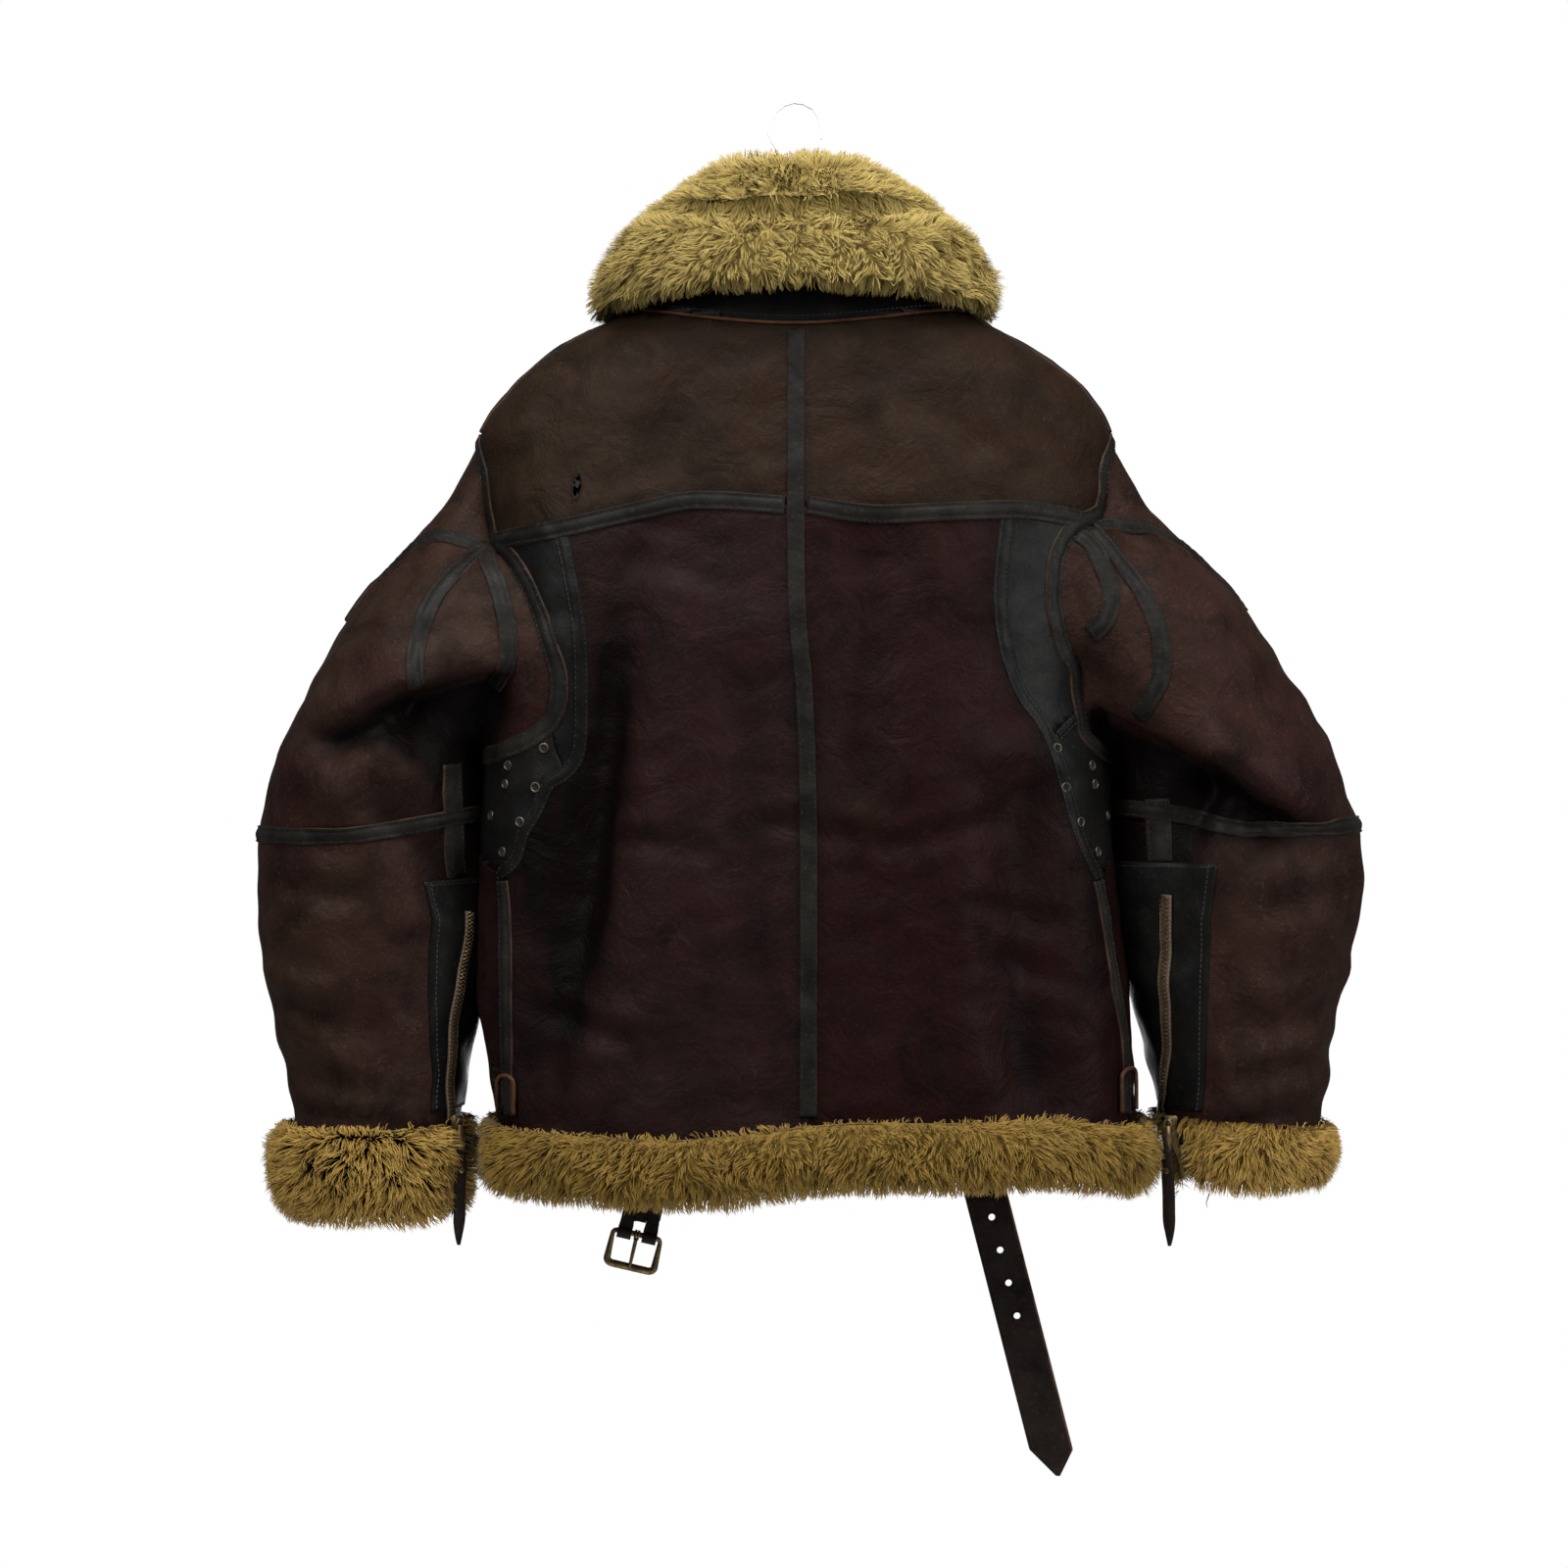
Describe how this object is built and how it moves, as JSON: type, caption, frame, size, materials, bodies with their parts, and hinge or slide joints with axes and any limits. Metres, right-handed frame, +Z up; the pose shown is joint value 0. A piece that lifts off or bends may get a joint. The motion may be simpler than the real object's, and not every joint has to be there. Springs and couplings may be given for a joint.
{
  "type": "sheepskin flying jacket on a hanger",
  "caption": "Sheepskin flying jacket with fur collar, cuffs and hem, taped seams and open belt, on a plain hanger.",
  "frame": {"origin": "where the hook's inside top sits on its rod", "axes": "+Z up, -Y out of the jacket's back, +X to the wearer's right"},
  "size_m": [0.7876, 0.2793, 1.0114],
  "materials": {
    "leather_brown": "worn sheepskin leather, mottled dark brown",
    "leather_black": "smooth black leather",
    "leather_tape": "worn charcoal leather strips",
    "fur": "khaki-gold sheepskin fur",
    "piping_brown": "brown leather piping",
    "zip_tape": "brown zip tape",
    "brass": "dull aged brass",
    "strap_leather": "dark brown belt leather",
    "hanger_white": "plain white",
    "hook_wire": "white painted wire"
  },
  "bodies": {
    "root": {"hanger": "hanger_white", "hook": "hook_wire", "neck_stay": "leather_black", "patch_left": "leather_black", "patch_right": "leather_black", "vent_left": "leather_black", "vent_right": "leather_black", "zip_panel_left": "leather_black", "zip_panel_right": "leather_black", "yoke_left": "leather_brown", "yoke_right": "leather_brown", "back_left": "leather_brown", "back_right": "leather_brown", "front_left": "leather_brown", "front_right": "leather_brown", "sleeve_upper_left": "leather_brown", "sleeve_upper_right": "leather_brown", "sleeve_lower_left": "leather_brown", "sleeve_lower_right": "leather_brown", "tape_centre_back": "leather_tape", "tape_gusset_left_1": "leather_tape", "tape_gusset_left_2": "leather_tape", "tape_gusset_right_1": "leather_tape", "tape_gusset_right_2": "leather_tape", "tape_armhole_left": "leather_tape", "tape_armhole_right": "leather_tape", "tape_yoke_left": "leather_tape", "tape_yoke_right": "leather_tape", "tape_side_left": "leather_tape", "tape_side_right": "leather_tape", "tape_shoulder_left": "leather_tape", "tape_shoulder_right": "leather_tape", "tape_forearm_left": "leather_tape", "tape_forearm_right": "leather_tape", "tape_elbow_left": "leather_tape", "tape_elbow_right": "leather_tape", "tape_sleeve_left": "leather_tape", "tape_sleeve_right": "leather_tape", "collar_fur": "fur", "hem_fur": "fur", "cuff_fur_left": "fur", "cuff_fur_right": "fur", "side_loop_left": "piping_brown", "side_loop_right": "piping_brown", "zip_left": "zip_tape", "zip_right": "zip_tape", "front_zip": "zip_tape", "zip_slider_left": "brass", "zip_slider_right": "brass", "front_slider": "brass", "belt_strap": "strap_leather", "buckle_strap": "strap_leather"},
    "tab_left": {"zip_tab_left": "brass", "zip_thong_left": "strap_leather"},
    "tab_right": {"zip_tab_right": "brass", "zip_thong_right": "strap_leather"},
    "pull_front": {"front_pull": "brass"},
    "frame_body": {"buckle_frame": "brass"},
    "prong_body": {"buckle_prong": "brass"}
  },
  "joints": [
    {"name": "cuff_tab_left", "type": "hinge", "parent": "root", "child": "tab_left", "pos_m": [-0.23618, -0.03305, -0.7223], "axis": [-0.9313, -0.3642, 0], "range_deg": [0, 34]},
    {"name": "cuff_tab_right", "type": "hinge", "parent": "root", "child": "tab_right", "pos_m": [0.26119, -0.03812, -0.7223], "axis": [-1, 0, 0], "range_deg": [0, 34]},
    {"name": "front_pull_tab", "type": "hinge", "parent": "root", "child": "pull_front", "pos_m": [0, 0.09417, -0.1733], "axis": [1, 0, 0], "range_deg": [0, 90]},
    {"name": "buckle_swing", "type": "hinge", "parent": "root", "child": "frame_body", "pos_m": [-0.1193, 0.1295, -0.826], "axis": [0.9744, 0, -0.225], "range_deg": [-30, 50]},
    {"name": "prong_swing", "type": "hinge", "parent": "frame_body", "child": "prong_body", "pos_m": [-0.1193, 0.1295, -0.826], "axis": [0.9744, 0, -0.225], "range_deg": [-90, 0]}
  ]
}
